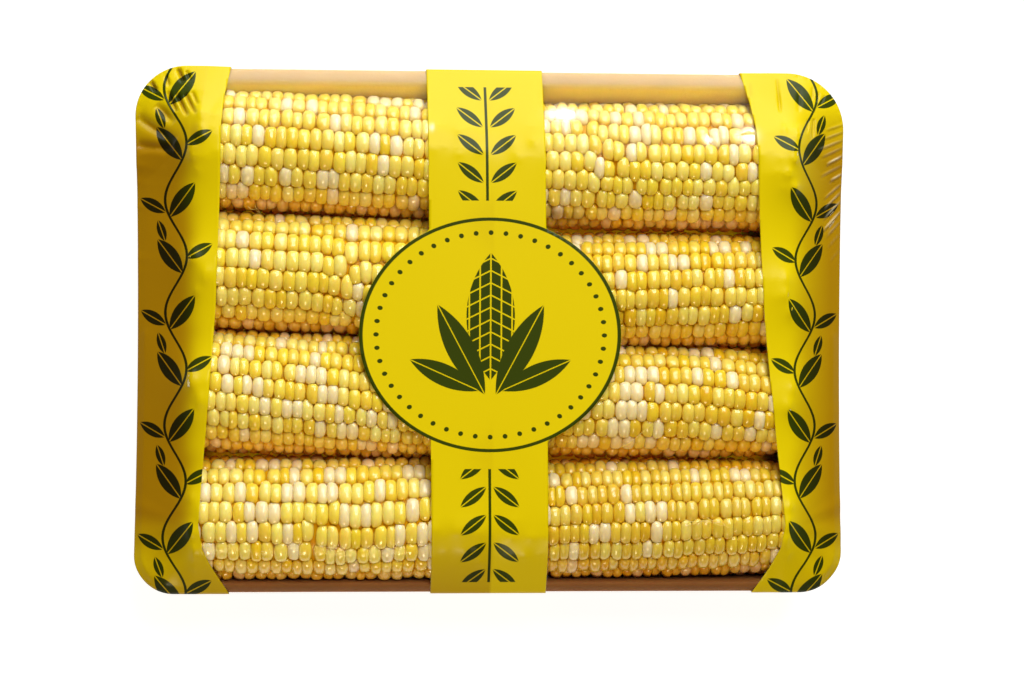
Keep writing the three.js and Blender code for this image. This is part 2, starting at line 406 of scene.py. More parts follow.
def new_material(name):
    """An empty node tree with its output."""
    material = bpy.data.materials.new(name)
    material.use_nodes = True
    tree = material.node_tree
    tree.nodes.clear()
    return material, tree, tree.nodes.new("ShaderNodeOutputMaterial")


def node(tree, kind, inputs=None, **settings):
    """One shader node: settings are its properties, inputs are values or sockets by name or place."""
    made = tree.nodes.new(kind)
    for key, value in settings.items():
        setattr(made, key, value)
    for key, value in (inputs or {}).items():
        if isinstance(value, bpy.types.NodeSocket):
            tree.links.new(value, made.inputs[key])
        else:
            made.inputs[key].default_value = value
    return made


class Field:
    """Arithmetic on a shader socket, so that a pattern reads as a formula."""

    def __init__(self, tree, value):
        self.tree = tree
        self.value = value

    def apply(self, operation, *others):
        made = self.tree.nodes.new("ShaderNodeMath")
        made.operation = operation
        for place, term in enumerate((self, *others)):
            value = term.value if isinstance(term, Field) else term
            if isinstance(value, bpy.types.NodeSocket):
                self.tree.links.new(value, made.inputs[place])
            else:
                made.inputs[place].default_value = value
        return Field(self.tree, made.outputs[0])

    def __add__(self, other):
        return self.apply("ADD", other)

    def __sub__(self, other):
        return self.apply("SUBTRACT", other)

    def __mul__(self, other):
        return self.apply("MULTIPLY", other)

    def least(self, other):
        return self.apply("MINIMUM", other)

    def most(self, other):
        return self.apply("MAXIMUM", other)

    def size(self):
        return self.apply("ABSOLUTE")

    def root(self):
        return self.apply("SQRT")

    def wrapped(self, low, high):
        return self.apply("WRAP", high, low)

    def inside(self, soft):
        """1 where the field is under zero, with an edge that is `soft` wide."""
        made = self.tree.nodes.new("ShaderNodeMapRange")
        self.tree.links.new(self.value, made.inputs["Value"])
        made.inputs["From Min"].default_value = soft
        made.inputs["From Max"].default_value = -soft
        return Field(self.tree, made.outputs[0])


def length_of(a, b):
    return (a * a + b * b).root()


def noise(tree, scale, detail):
    """Noise in the object's own coordinates."""
    place = node(tree, "ShaderNodeTexCoord")
    inputs = {"Vector": place.outputs["Object"], "Scale": scale, "Detail": detail}
    return node(tree, "ShaderNodeTexNoise", inputs).outputs[0]


def shaded(tree, colour, share, low, high):
    """The colour times a share that is stretched to run from low to high."""
    scale = node(tree, "ShaderNodeMapRange", {"Value": share, "To Min": low, "To Max": high})
    inputs = {0: colour, "Scale": scale.outputs[0]}
    return node(tree, "ShaderNodeVectorMath", inputs, operation="SCALE").outputs[0]


def bumped(tree, height, strength, distance):
    inputs = {"Height": height, "Strength": strength, "Distance": distance}
    return node(tree, "ShaderNodeBump", inputs).outputs[0]


def mixed(tree, share, first, second):
    """From the first colour to the second, by share."""
    return node(tree, "ShaderNodeMix", {"Factor": share, 6: first, 7: second}, data_type="RGBA").outputs[2]


def surface(tree, out, inputs):
    """The material's one Principled shader."""
    shader = node(tree, "ShaderNodeBsdfPrincipled", inputs)
    tree.links.new(shader.outputs[0], out.inputs[0])


# Cobs


def cob_place(name):
    """Middle, radius, half length and yaw of a CAD cob, in millimetres."""
    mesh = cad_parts[name].data
    points = np.zeros(len(mesh.vertices) * 3)
    mesh.vertices.foreach_get("co", points)
    points = points.reshape(-1, 3) / MM
    low, high = points.min(0), points.max(0)
    third = (high[0] - low[0]) / 3
    first = points[points[:, 0] < low[0] + third]
    last = points[points[:, 0] > high[0] - third]
    rise = (last[:, 1].max() + last[:, 1].min() - first[:, 1].max() - first[:, 1].min()) / 2
    yaw = math.atan2(rise, 2 * third)
    return (low + high) / 2, (high[2] - low[2]) / 2, (high[0] - low[0]) / 2, yaw


def cob_radius(along, radius, half, taper):
    """Radius over the kernel tips, drawn in towards both ends."""
    share = along / half
    left, right = taper
    shrink = np.where(share < 0, left, right) * np.abs(share) ** 3
    return radius * (1 - shrink)


def kernel_centres(rng, style, radius, half):
    """Place along, angle and row of every kernel, with some outside the ends to bound the last ones."""
    rows, pitch = style["rows"], style["pitch"]
    girth = 2 * math.pi * radius
    left_slope, right_slope = style["slopes"]
    along, around, row_of = [], [], []
    steps = int(half / pitch) + 5
    places = np.arange(-steps, steps + 1)
    for row in range(rows):
        stagger = row % 2 / 2 + ROW_STAGGER * rng.standard_normal()
        creep = ROW_CREEP * np.sin(places / rng.uniform(5, 9) + rng.uniform(0, 6.3))
        jitter = ALONG_JITTER * rng.standard_normal(len(places)).clip(-1.8, 1.8)
        u = pitch * (places + stagger + creep + jitter)
        drift = np.where(u < style["bend"], left_slope, right_slope) * (u - style["bend"])
        wave = 0.5 * np.sin(u / 17 + rng.uniform(0, 6.3)) + 0.3 * np.sin(u / 7 + rng.uniform(0, 6.3))
        v = girth * row / rows + drift + ROW_WAVE * wave + AROUND_JITTER * rng.standard_normal(len(u))
        along.append(u)
        around.append(v)
        row_of.append(np.full(len(u), row))
    along, around, row_of = (np.concatenate(block) for block in (along, around, row_of))
    if "patch" in style:
        along, around = disturb(rng, along, around, style, girth)
    keep = np.abs(along) < half + 2.5 * pitch
    return along[keep], around[keep] % girth, row_of[keep]


def disturb(rng, along, around, style, girth):
    """A patch where rows slip past each other and kernels crowd."""
    at_u, at_degrees = style["patch"]
    at_v = girth * at_degrees / 360
    off_v = (around - at_v + girth / 2) % girth - girth / 2
    belt = np.exp(-((off_v / PATCH_DEEP) ** 2))
    slip = 0.5 * girth / style["rows"] / (1 + np.exp(-(along - at_u) / 4))
    near = belt * np.exp(-(((along - at_u) / PATCH_LONG) ** 2))
    jitter_u, jitter_v = PATCH_JITTER
    around = around + belt * slip + jitter_v * near * rng.standard_normal(len(along))
    along = along + jitter_u * near * rng.standard_normal(len(along))
    return along, around


def kernel_reach(along, around, girth, style, segments):
    """Rounded cell of each kernel: its reach in each direction, in pitches."""
    across = girth / style["rows"]
    du = (along[None, :] - along[:, None]) / style["pitch"]
    dv = ((around[None, :] - around[:, None] + girth / 2) % girth - girth / 2) / across
    facing_u, facing_v = du * np.abs(du), dv * np.abs(dv)
    size = np.hypot(facing_u, facing_v) + 1e-9
    border = np.maximum((facing_u * du + facing_v * dv) / (2 * size), CELL_LEAST)
    np.fill_diagonal(border, np.inf)
    reach = []
    for turn in np.linspace(0, 2 * math.pi, segments, endpoint=False):
        facing = np.maximum(facing_u * math.cos(turn) + facing_v * math.sin(turn), 0) / size
        pressure = ((facing / border) ** CELL_SHARPNESS).sum(1)
        bound = abs(math.cos(turn) / WIDEST) ** CELL_ROUND + abs(math.sin(turn) / WIDEST) ** CELL_ROUND
        reach.append((pressure + bound ** (CELL_SHARPNESS / CELL_ROUND)) ** (-1 / CELL_SHARPNESS))
    return np.stack(reach, 1)


def kernel_grid(count, segments, rings):
    """Faces of `count` domes, each an apex, rings of points and a skirt."""
    ring = np.arange(segments)
    after = (ring + 1) % segments
    cap = np.stack([np.zeros(segments, int), 1 + after, 1 + ring], 1)
    bands = 1 + tube_quads(rings + 1, segments)
    per_kernel = 1 + (rings + 1) * segments
    shift = (np.arange(count) * per_kernel)[:, None, None]
    return (cap[None] + shift).reshape(-1, 3), (bands[None] + shift).reshape(-1, 4)


def kernel_domes(rng, kernels, reach, style, radius, half, detail):
    """Points, faces, height share and front share of the domes over the given kernels."""
    segments, rings = detail
    along, around = kernels
    count = len(along)
    across = 2 * math.pi * radius / style["rows"]
    turn = np.linspace(0, 2 * math.pi, segments, endpoint=False)
    edge_u = OVERLAP * reach * np.cos(turn) * style["pitch"]
    edge_v = OVERLAP * reach * np.sin(turn) * across
    lean = np.linspace(0, math.pi / 2, rings + 1)[1:]
    spread = np.concatenate([[0.0], np.sin(lean) ** DOME_ROUND, [SKIRT_SPREAD]])
    height = np.concatenate([[1.0], np.cos(lean) ** DOME_ROUND, [-KERNEL_SKIRT / KERNEL_HEIGHT]])
    unevenness = TIP_JITTER * rng.standard_normal(count).clip(-2, 1.3)
    tip = cob_radius(along, radius, half, style["taper"]) + TIP_LIFT + unevenness
    tilt_u, tilt_v = TILT_JITTER * rng.standard_normal((2, count))
    points, shares, fronts = [], [], []
    for level, (s, h) in enumerate(zip(spread, height)):
        width = segments if level else 1
        du = s * edge_u[:, :width]
        dv = s * edge_v[:, :width]
        rho = tip[:, None] - KERNEL_HEIGHT * (1 - h)
        rho = rho + tilt_u[:, None] * du + tilt_v[:, None] * dv
        theta = (around[:, None] + dv) / radius
        points.append(np.stack([along[:, None] + du, rho * np.cos(theta), rho * np.sin(theta)], 2))
        shares.append(np.full(du.shape, h))
        fronts.append(np.broadcast_to(s * np.sin(turn[:width]), du.shape))
    points = np.concatenate(points, 1).reshape(-1, 3)
    shares = np.concatenate(shares, 1), np.concatenate(fronts, 1)
    caps, quads = kernel_grid(count, segments, rings)
    return points, caps, quads, shares


def kernel_tints(rng, row_of, along, style):
    """A colour for each kernel: uneven yellows, and whites that tend to come in runs."""
    count = len(row_of)
    mix = rng.dirichlet(YELLOW_SHARES, count)
    shade = style.get("shade", 1.0)
    tints = (mix @ YELLOWS) ** style.get("depth", 1.0) * shade
    white = np.zeros(count, bool)
    order = np.lexsort((along, row_of))
    last_white, last_row = False, -1
    for k in order:
        if row_of[k] != last_row:
            last_white, last_row = False, row_of[k]
        chance = style["white"] * WHITE_RUN if last_white else style["white"]
        white[k] = last_white = rng.random() < chance
    uneven = 1 - 0.08 * rng.random((white.sum(), 1))
    tints[white] = WHITE_KERNEL * uneven * shade ** 0.5
    return tints, white


def kernel_colours(tints, white, shares):
    """Colour and wetness at each point: the kernel's tint, turned warm on its front side as painted shade,
    and warm low in the grooves, where the colour is partly the kernel's own and partly painted shade.
    """
    height, front = (share[:, :, None] for share in shares)
    warm = np.where(white[:, None], 0.5 * (WHITE_KERNEL + GROOVE_TONE_AND_SHADE), GROOVE_TONE_AND_SHADE)[:, None]
    lit = 1 - FRONT_SHADE_WARMTH * np.clip(front, 0, 1) ** 1.3
    rise = np.clip((height - 0.1) / 0.55, 0, 1) ** 0.7 * lit
    colours = warm * (1 - rise) + tints[:, None] * rise
    return np.concatenate([colours, np.full(height.shape, WET)], 2).reshape(-1, 4)


def flank_shade_share(name, around, radius):
    """How much a kernel takes a deep orange painted shade: in the valley beside the next cob, or on its
    shaded front.
    """
    row = int(name.split("_")[1])
    up, back = np.sin(around / radius), np.cos(around / radius)
    beside = np.where(back > 0, row > 1, row < 4)
    valley = beside * np.clip((0.38 - up) / 0.36, 0, 1)
    front = SHADED_MOST * np.clip((0.85 - up) / 0.5, 0, 1) * (back < 0)
    return FLANK_SHADE_MOST * np.maximum(valley, front)


def cob_core(radius, half, taper):
    """The body under the kernels, with flat cut ends."""
    steps, around = 14, 40
    stations = np.linspace(-1, 1, steps) * (half - 0.6)
    body = cob_radius(stations, radius, half, taper) - CORE_DEPTH
    along = np.concatenate([[stations[0]] * 3, stations, [stations[-1]] * 3])
    rho = np.concatenate([[0.01, 6.0, body[0] - 1.0], body, [body[-1] - 1.0, 6.0, 0.01]])
    turn = np.linspace(0, 2 * math.pi, around, endpoint=False)
    points = np.stack(
        [
            np.repeat(along, around),
            (rho[:, None] * np.cos(turn)).ravel(),
            (rho[:, None] * np.sin(turn)).ravel(),
        ],
        1,
    )
    return points, tube_quads(len(along), around)[:, ::-1]


def silk_strand(rng, strand, radius):
    """A thin thread of corn silk lying over the kernels, from one place to another."""
    (u0, degrees0), (u1, degrees1) = strand
    steps, sides = 16, 5
    share = np.linspace(0, 1, steps)
    bow = np.sin(math.pi * share) * rng.uniform(-1.2, 1.2)
    u = u0 + (u1 - u0) * share + bow
    theta = np.radians(degrees0 + (degrees1 - degrees0) * share) + 0.02 * np.sin(share * 9)
    rho = radius + SILK_LIFT + 0.2 * np.sin(share * 11)
    path = np.stack([u, rho * np.cos(theta), rho * np.sin(theta)], 1)
    ahead = np.gradient(path, axis=0)
    ahead /= np.linalg.norm(ahead, axis=1, keepdims=True)
    out = np.stack([np.zeros(steps), np.cos(theta), np.sin(theta)], 1)
    across = np.cross(ahead, out)
    turn = np.linspace(0, 2 * math.pi, sides, endpoint=False)[None, :, None]
    thick = (SILK_RADIUS * (1 - 0.5 * share))[:, None, None]
    points = path[:, None] + thick * (np.cos(turn) * across[:, None] + np.sin(turn) * out[:, None])
    return points.reshape(-1, 3), tube_quads(steps, sides)


def one_colour(colour, count):
    """The same colour for every point of a dry surface."""
    return np.tile((*colour, DRY), (count, 1))


def build_cob(name, style, seed, material):
    """One cob of kernels in place of its CAD node. Returns its points for the film to lie on."""
    rng = np.random.default_rng(seed)
    middle, radius, half, yaw = cob_place(name)
    girth = 2 * math.pi * radius
    along, around, row_of = kernel_centres(rng, style, radius, half)
    tints, white = kernel_tints(rng, row_of, along, style)
    # Painted shade: kernels beside the next cob and on the front side turn deep orange
    flank_shade = flank_shade_share(name, around, radius)[:, None]
    tints = tints * (1 - flank_shade) + FLANK_SHADE * flank_shade
    up = np.sin(around / radius)
    shown = (np.abs(along) < half - END_CUT) & (up > HIDDEN_BELOW)
    upper = up > FINE_ABOVE
    parts = []
    for chosen, detail in ((shown & upper, FINE), (shown & ~upper, COARSE)):
        reach = kernel_reach(along, around, girth, style, detail[0])[chosen]
        kernels = along[chosen], around[chosen]
        points, caps, quads, shares = kernel_domes(rng, kernels, reach, style, radius, half, detail)
        parts.append((points, [caps, quads], kernel_colours(tints[chosen], white[chosen], shares)))
    points, quads = cob_core(radius, half, style["taper"])
    # The core is coloured deep orange as painted shade for the gaps between kernels
    parts.append((points, [quads], one_colour(CORE_SHADE, len(points))))
    for strand in style.get("silk", ()):
        points, quads = silk_strand(rng, strand, radius)
        parts.append((points, [quads], one_colour(SILK, len(points))))
    points, faces, colours = joined(parts)
    points[:, 1] *= style.get("wide", COB_WIDE)
    turn = np.array(Matrix.Rotation(yaw + math.radians(style.get("turn", 0.0)), 3, "Z"))
    points = points @ turn.T + middle
    points[:, 1] -= style.get("move", 0.0)
    points = kept_in_tray(points)
    piece = mesh_piece(name + "_corn", points, faces, material)
    point_colours(piece, "tint", colours)
    part_of_object(piece, name)
    return points


# Pack outline


def corner_radius(x, y):
    front = np.where(x < 0, FRONT_CORNERS[-1], FRONT_CORNERS[1])
    back = np.where(x < 0, BACK_CORNERS[-1], BACK_CORNERS[1])
    return np.where(y < 0, front, back)


def rim_inset(x, y):
    """Distance inside the rim's rounded outline."""
    corner = corner_radius(x, y)
    qx = np.abs(x) - (HALF_X - corner)
    qy = np.abs(y) - (HALF_Y - corner)
    outside = np.hypot(np.maximum(qx, 0), np.maximum(qy, 0))
    return corner - outside - np.minimum(np.maximum(qx, qy), 0)


def graded(stops, steps):
    """Places along a line, with its own step between each two stops."""
    places = [np.array([stops[0]])]
    for low, high, step in zip(stops, stops[1:], steps):
        places.append(np.linspace(low, high, round((high - low) / step) + 1)[1:])
    return np.concatenate(places)


def rounded_grid():
    """A grid whose rings are rounded rectangles inside the rim, finer where the film folds."""
    along = graded((-HALF_X, -112, 112.5, HALF_X), (FOLD_STEP, FILM_STEP, FOLD_STEP))
    deep = graded((-HALF_Y, -62, 40, HALF_Y), (FRONT_STEP, FILM_STEP, FOLD_STEP))
    x, y = np.meshgrid(along, deep, indexing="ij")
    ax, ay = np.abs(x), np.abs(y)
    inset = np.minimum(HALF_X - ax, HALF_Y - ay)
    radius = np.maximum(corner_radius(x, y) - inset, 1e-6)
    cx, cy = HALF_X - inset - radius, HALF_Y - inset - radius
    on_side = HALF_X - ax <= HALF_Y - ay
    share = np.where(on_side, (ay - cy) / radius, 2 - (ax - cx) / radius) / 2
    bent = (share > 0) & (share < 1) & (radius > 1e-5)
    turn = np.clip(share, 0, 1) * math.pi / 2
    new_x = np.where(bent, cx + radius * np.cos(turn), ax)
    new_y = np.where(bent, cy + radius * np.sin(turn), ay)
    return np.copysign(new_x, x), np.copysign(new_y, y)


def bowed(points):
    """Draws the middle of both ends in a little, as the film's pull does."""
    points = points.copy()
    size = np.abs(points[:, 0])
    out = np.clip((size - BOW_FROM) / (HALF_X - BOW_FROM), 0, 1)
    share = out * np.clip(1 - (points[:, 1] / BOW_DEEP) ** 2, 0, 1)
    points[:, 0] -= np.sign(points[:, 0]) * END_BOW * share
    return points


def grid_loop(shape):
    """Indices of a grid's edge, once round, counter-clockwise from above."""
    nx, ny = shape
    index = np.arange(nx * ny).reshape(shape)
    return np.concatenate([index[:-1, 0], index[-1, :-1], index[:0:-1, -1], index[0, :0:-1]])


# Film


def grid_triangles(shape):
    index = np.arange(shape[0] * shape[1]).reshape(shape)
    a, b = index[:-1, :-1].ravel(), index[1:, :-1].ravel()
    c, d = index[1:, 1:].ravel(), index[:-1, 1:].ravel()
    return np.concatenate([np.stack([a, b, c], 1), np.stack([a, c, d], 1)])


def strip_edge(y, side):
    """How far from the middle an end strip begins, by depth."""
    return np.interp(y, STRIP_EDGE_Y, STRIP_EDGE_X[side])


def neighbours(field):
    """The four neighbours of every place on a grid."""
    padded = np.pad(field, 1, mode="edge")
    return np.stack([padded[:-2, 1:-1], padded[2:, 1:-1], padded[1:-1, :-2], padded[1:-1, 2:]])


def smooth(field, times):
    """Softens a grid by averaging neighbours."""
    for _ in range(times):
        field = (neighbours(field).sum(0) + 2 * field) / 6
    return field


def widest(field, times):
    """Largest neighbour on a grid, taken several times."""
    for _ in range(times):
        field = np.maximum(neighbours(field).max(0), field)
    return field


class Heights:
    """A height grid at 1 mm over the pack, read at any place."""

    def __init__(self):
        self.low = np.array((-math.ceil(HALF_X) - 2.0, -math.ceil(HALF_Y) - 2.0))
        self.shape = tuple(int(-2 * v) + 1 for v in self.low)
        self.x, self.y = np.meshgrid(*(self.low[k] + np.arange(self.shape[k]) for k in (0, 1)), indexing="ij")

    def read(self, grid, x, y):
        i = np.clip(x - self.low[0], 0, self.shape[0] - 1.001)
        j = np.clip(y - self.low[1], 0, self.shape[1] - 1.001)
        a, b = i.astype(int), j.astype(int)
        s, t = i - a, j - b
        near = grid[a, b] * (1 - s) + grid[a + 1, b] * s
        far = grid[a, b + 1] * (1 - s) + grid[a + 1, b + 1] * s
        return near * (1 - t) + far * t

    def raised(self, points):
        """Highest point in each cell."""
        cells = np.full(self.shape, -1.0)
        i = np.clip(np.round(points[:, 0] - self.low[0]).astype(int), 0, self.shape[0] - 1)
        j = np.clip(np.round(points[:, 1] - self.low[1]).astype(int), 0, self.shape[1] - 1)
        np.maximum.at(cells, (i, j), points[:, 2])
        return cells


def stretch_film(heights, solid):
    """Taut film: level under even pull, held at the rim and pushed up by what is under it."""
    inset = rim_inset(heights.x, heights.y)
    free = inset > RIM_HELD
    under = np.where(solid > 0, solid + FILM_CLEAR, 0.0)
    film = np.where(free, np.maximum(under, np.minimum(RIM_Z + 0.55 * inset, FILM_TOP)), RIM_Z)
    parity = (np.indices(film.shape).sum(0) % 2).astype(bool)
    masks = [free & parity, free & ~parity]
    for _ in range(PULL_ROUNDS):
        for mask in masks:
            level = neighbours(film).sum(0) / 4
            pulled = np.maximum(film + PULL * (level - film), under)
            film = np.where(mask, pulled, film)
    return film


def ridges(rng, position, low, high, count, width):
    """A row of separate soft folds at uneven places along a line."""
    total = np.zeros_like(position)
    for place in np.sort(rng.uniform(low, high, count)):
        size = rng.uniform(0.4, 1.0)
        spread = width * rng.uniform(0.6, 1.4)
        total += size * np.exp(-(((position - place) / spread) ** 2))
    return total


def line_share(x, y, first, last, width):
    """1 on a straight line between two places, falling to 0 beside it and at its ends."""
    (ax, ay), (bx, by) = first, last
    length = math.hypot(bx - ax, by - ay)
    ux, uy = (bx - ax) / length, (by - ay) / length
    along = ((x - ax) * ux + (y - ay) * uy) / length
    beside = (y - ay) * ux - (x - ax) * uy
    ends = np.sin(math.pi * np.clip(along, 0, 1)) ** 0.5
    return ends * np.exp(-np.abs(beside / width) ** 1.6)


def fan(x, y, side_x, side_y):
    """Angle and distance from the place near a corner that its folds fan out from."""
    px, py = side_x * x - FAN_X, side_y * y - FAN_Y
    return np.degrees(np.arctan2(py, px)), np.hypot(px, py)


def corner_creases(x, y):
    """Sharp valleys at the back corners, as a share of full depth."""
    total = np.zeros_like(x)
    for places in BACK_CREASES.values():
        for first, last, width, size in places:
            total += size * line_share(x, y, first, last, width)
    return np.minimum(total, 1.0)


def end_folds(x, y, drop):
    """Tight slanting folds down the right end, each moved to the front by `drop`."""
    total = np.zeros_like(x)
    for height, slope, length, size in END_FOLDS:
        first = (HALF_X, height - drop)
        last = (HALF_X - length, height - drop - slope * length)
        total += size * line_share(x, y, first, last, END_FOLD_WIDTH)
    return np.minimum(total, 1.0)


def corner_pleats(x, y):
    """Puffed film between the creases at the corners, highest at the back left."""
    inset = rim_inset(x, y)
    total = np.zeros_like(x)
    for side_x, side_y, height in PUFFS:
        turn, away = fan(x, y, side_x, side_y)
        window = np.clip((turn + 40) / 20, 0, 1) * np.clip((118 - turn) / 20, 0, 1)
        puff = window * np.clip((away - 3) / 14, 0, 1) * np.exp(-np.maximum(inset, 0) / 18)
        total += height * puff
    front = np.where(y < 0, 0.5 + 0.5 * np.sin(fan(x, y, np.sign(x), -1)[0] / 4.2), 1.0)
    creases = corner_creases(x, y)
    sunk = CREASE_DEPTH * creases * np.clip((inset - 8) / 4, 0, 1)
    return total * front * (1 - creases) - sunk


def edge_pleats(x, y):
    """Short slanting folds along the two ends."""
    inset = rim_inset(x, y)
    rng = np.random.default_rng(7)
    fall = np.exp(-np.maximum(inset, 0) / 5.0)
    left = ridges(rng, y + 0.15 * inset, 10, 72, 6, 1.7) * (x < 0)
    low = ridges(rng, y, -90, 5, 5, 2.4)
    right = 0.8 * end_folds(x, y, 0.0) - 0.6 * end_folds(x, y, FOLD_DROP)
    return fall * (0.4 * left + 0.12 * low) + right


def print_shade_share(heights, film, solid, x, y):
    """Share of painted shade on the print: over empty space, in creases and folds, and where the film is
    gathered.
    """
    begin, over, least, most = RIGHT_HOLLOW_SHADE
    painted_shade = heights.read(hollow_shade_share(heights, film, solid), x, y)
    painted_shade *= np.where(x > 0, np.clip((x - begin) / over, least, most), 1.0)
    creased = np.where(x < 0, 1.0, RIGHT_CREASE_SHADE) * corner_creases(x, y)
    folded = FOLD_SHADE * end_folds(x, y, FOLD_DROP)
    at_x, at_y, wide, deep, share = GATHERED_SHADE
    gathered_shade = share * np.exp(-(((x - at_x) / wide) ** 2) - ((y - at_y) / deep) ** 2)
    return np.max([painted_shade, creased, folded, gathered_shade], 0)


def film_surface(heights, film, solid):
    """The whole film as one closed skin. Points hold place, place in the print, painted shade and glare
    shares.
    """
    x, y = rounded_grid()
    z = heights.read(film, x, y) + corner_pleats(x, y) + edge_pleats(x, y)
    print_shade = print_shade_share(heights, film, solid, x, y)
    top = np.stack([x, y, z, x, y, print_shade, glare_share(x, y)], 2).reshape(-1, 7)
    triangles = [grid_triangles(x.shape)]
    loop = grid_loop(x.shape)
    rings = film_walls(top[loop])
    ring = np.arange(len(loop))
    after = (ring + 1) % len(loop)
    previous = loop
    for level in range(len(rings)):
        current = len(top) + level * len(loop) + ring
        triangles.append(np.stack([previous, current, current[after]], 1))
        triangles.append(np.stack([previous, current[after], previous[after]], 1))
        previous = current
    centre = len(top) + len(rings) * len(loop)
    triangles.append(np.stack([previous, np.full(len(loop), centre), previous[after]], 1))
    middle = np.array([[0, 0, 0, 0, 0, WALL_SHADE, 0]])
    points = bowed(np.concatenate([top, *rings, middle]))
    return points, np.concatenate(triangles)


def film_walls(rim):
    """Rings of film from the rim down the tray's sides to its underside."""
    ahead = np.roll(rim[:, :2], -1, 0) - np.roll(rim[:, :2], 1, 0)
    out = np.stack([ahead[:, 1], -ahead[:, 0]], 1)
    out /= np.linalg.norm(out, axis=1, keepdims=True)
    folds = wall_folds(rim[:, 0], rim[:, 1])
    flat = np.ones((len(rim), 1))
    rings = []
    before_inset, before_z = RIM_HELD, RIM_Z
    down = 0.0
    for (inset, z), rows in zip(WALL_PROFILE, WALL_ROWS):
        length = math.hypot(inset - before_inset, z - before_z)
        for row in range(1, rows + 1):
            share = row / rows
            at = before_inset + (inset - before_inset) * share
            level = before_z + (z - before_z) * share
            bulge = folds * math.sin(math.pi * min(max(level / 36.5, 0), 1)) ** 0.6
            place = rim[:, :2] - out * (at - bulge)[:, None]
            printed = rim[:, :2] + out * (down + share * length)
            rings.append(np.concatenate([place, flat * level, printed, flat * WALL_SHADE, flat * 0], 1))
        down += length
        before_inset, before_z = inset, z
    return rings


def wall_folds(x, y):
    """Upright folds in the film's sides, mostly round the corners."""
    rng = np.random.default_rng(11)
    turn = np.degrees(np.arctan2(y / HALF_Y, x / HALF_X))
    corner = np.clip(1 - np.abs(np.abs(np.abs(turn) - 90) - 45) / 16, 0, 1)
    folds = ridges(rng, turn, -180, 180, 150, 0.7)
    return -0.55 * corner * folds - 0.12 * ridges(rng, turn, -180, 180, 40, 2.0)


def hollow_shade_share(heights, film, solid):
    """Painted shade for the print: more where empty space lies behind the film past the ends of the cobs,
    none near the back edge, and an even share along the front.
    """
    filled = widest(np.maximum(solid, 0), 11)
    filled = -widest(-filled, 11)
    gap = smooth(np.clip((film - filled - 6) / 22, 0, 1), 24)
    back = np.clip((heights.y - 72) / 20, 0, 1)
    front = np.clip((-heights.y - 72) / 32, 0, 1)
    return np.maximum(gap * (1 - back) * (1 - front), 0.6 * front)


def glare_share(x, y):
    """Where the film is drawn tight and clings, so that it mirrors the lights."""
    total = end_folds(x, y, 0.0) ** 2.5
    for at_x, at_y, wide, deep in GLARES:
        total += np.exp(-(((x - at_x) / wide) ** 2) - ((y - at_y) / deep) ** 2)
    return np.minimum(total, 1.0)


def skin_normals(points, triangles):
    """Unit normal at each point."""
    a, b, c = (points[triangles[:, k], :3] for k in range(3))
    flat = np.cross(b - a, c - a)
    normals = np.zeros((len(points), 3))
    for k in range(3):
        np.add.at(normals, triangles[:, k], flat)
    return normals / np.maximum(np.linalg.norm(normals, axis=1, keepdims=True), 1e-9)


def clip_skin(points, triangles, field):
    """The part of a skin where the field is above zero, cut along it."""
    value = field(points)
    value = np.where(np.abs(value) < 0.06, 0.0, value)
    keep = value >= 0
    count = keep[triangles].sum(1)
    whole = triangles[count == 3]
    made, where, pieces = [], {}, [whole]

    def crossing(p, q):
        key = (min(p, q), max(p, q))
        if key not in where:
            share = value[p] / (value[p] - value[q])
            where[key] = len(points) + len(made)
            made.append(points[p] + share * (points[q] - points[p]))
        return where[key]

    extra = []
    for triangle in triangles[(count == 1) | (count == 2)]:
        inside = [k for k in range(3) if keep[triangle[k]]]
        if len(inside) == 1:
            a, b, c = (triangle[(inside[0] + k) % 3] for k in range(3))
            if value[a] > 0:
                extra.append((a, crossing(a, b), crossing(a, c)))
        else:
            out = next(k for k in range(3) if not keep[triangle[k]])
            a, b, c = (triangle[(out + k) % 3] for k in range(3))
            p = crossing(b, a) if value[b] > 0 else b
            q = crossing(c, a) if value[c] > 0 else c
            if p != b:
                extra.append((p, b, c))
            if q != c:
                extra.append((p, c, q))
    if extra:
        pieces.append(np.array(extra))
    points = np.concatenate([points, np.array(made)]) if made else points
    triangles = np.concatenate(pieces)
    used, renumbered = np.unique(triangles, return_inverse=True)
    return points[used], renumbered.reshape(-1, 3)


def thick_skin(points, triangles):
    """A closed thin solid: the skin, a copy inside it and the edge between them."""
    count = len(points)
    inner = points.copy()
    inner[:, :3] -= FILM_THICK * points[:, 7:10]
    edges = np.concatenate([triangles[:, [0, 1]], triangles[:, [1, 2]], triangles[:, [2, 0]]])
    codes = edges[:, 0] * count + edges[:, 1]
    back = edges[:, 1] * count + edges[:, 0]
    rim = edges[~np.isin(codes, back)]
    sides = np.stack([rim[:, 1], rim[:, 0], rim[:, 0] + count, rim[:, 1] + count], 1)
    return np.concatenate([points, inner]), [triangles, triangles[:, ::-1] + count, sides]


def oval_field(points):
    return 1 - np.hypot((points[:, 3] - OVAL_X) / OVAL_A, (points[:, 4] - OVAL_Y) / OVAL_B)


def on_top(points):
    return points[:, 2] > PRINT_TOP_ABOVE


def band_or_oval(points):
    oval = np.where(on_top(points), oval_field(points) * OVAL_B, FAR_OUTSIDE)
    middle = BAND_X + BAND_LEAN * points[:, 1]
    return np.maximum(BAND_HALF - np.abs(points[:, 0] - middle), oval)


def beyond_strip(side):
    return lambda points: side * points[:, 0] - strip_edge(points[:, 1], side)


